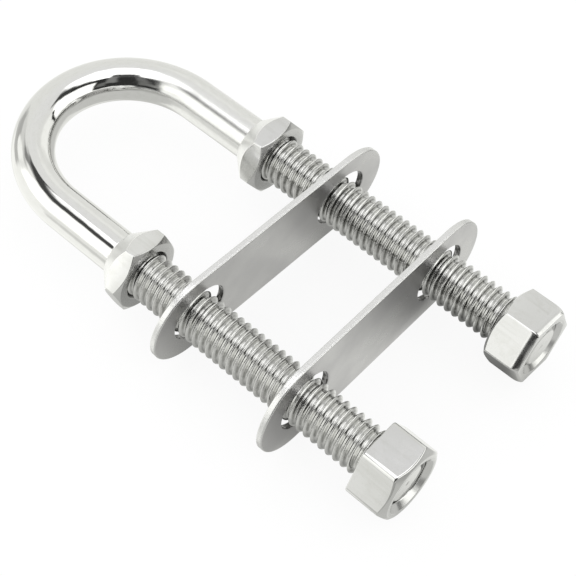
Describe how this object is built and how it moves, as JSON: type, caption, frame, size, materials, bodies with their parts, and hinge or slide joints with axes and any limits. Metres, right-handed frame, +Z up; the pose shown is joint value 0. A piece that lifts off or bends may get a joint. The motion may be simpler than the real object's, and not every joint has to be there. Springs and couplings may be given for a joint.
{
  "type": "u-bolt with clamping plates and nuts",
  "caption": "Round rod bent to a U with threaded legs, conical shoulder nuts at the bow, oblong clamping plates and hex nuts at the free ends.",
  "frame": {"origin": "middle of the outer plate's clamping face, half way between the two legs and in the plane of the U", "axes": "+X along the legs from the bow to the free ends, +Y across the legs towards the right leg, +Z up, square to the plane of the U, which lies flat"},
  "size_m": [0.1057, 0.06, 0.0208],
  "materials": {
    "polished_rod": "mirror-polished stainless steel, rolled thread",
    "nut_steel": "polished stainless steel with fine turning marks on the faces",
    "plate_steel": "satin cold-rolled stainless sheet with sheared edges"
  },
  "bodies": {
    "u_bolt": {"u_bolt": "polished_rod"},
    "shoulder_nut_left": {"shoulder_nut_left": "nut_steel"},
    "shoulder_nut_right": {"shoulder_nut_right": "nut_steel"},
    "outer_plate": {"outer_plate": "plate_steel"},
    "inner_plate": {"inner_plate": "plate_steel"},
    "end_nut_left": {"end_nut_left": "nut_steel"},
    "end_nut_right": {"end_nut_right": "nut_steel"}
  },
  "joints": [
    {"name": "shoulder_nut_left_travel", "type": "slide", "parent": "u_bolt", "child": "shoulder_nut_left", "axis": [1, 0, 0], "range_m": [0, 0.00953]},
    {"name": "shoulder_nut_right_travel", "type": "slide", "parent": "u_bolt", "child": "shoulder_nut_right", "axis": [1, 0, 0], "range_m": [0, 0.01111]},
    {"name": "outer_plate_slide", "type": "slide", "parent": "u_bolt", "child": "outer_plate", "axis": [1, 0, 0], "range_m": [-0.0101, 0.0211]},
    {"name": "inner_plate_slide", "type": "slide", "parent": "u_bolt", "child": "inner_plate", "axis": [1, 0, 0], "range_m": [-0.0211, 0.0145]},
    {"name": "end_nut_left_travel", "type": "slide", "parent": "u_bolt", "child": "end_nut_left", "axis": [1, 0, 0], "range_m": [-0.01429, 0.00635]},
    {"name": "end_nut_right_travel", "type": "slide", "parent": "u_bolt", "child": "end_nut_right", "axis": [1, 0, 0], "range_m": [-0.01429, 0.00635]}
  ]
}
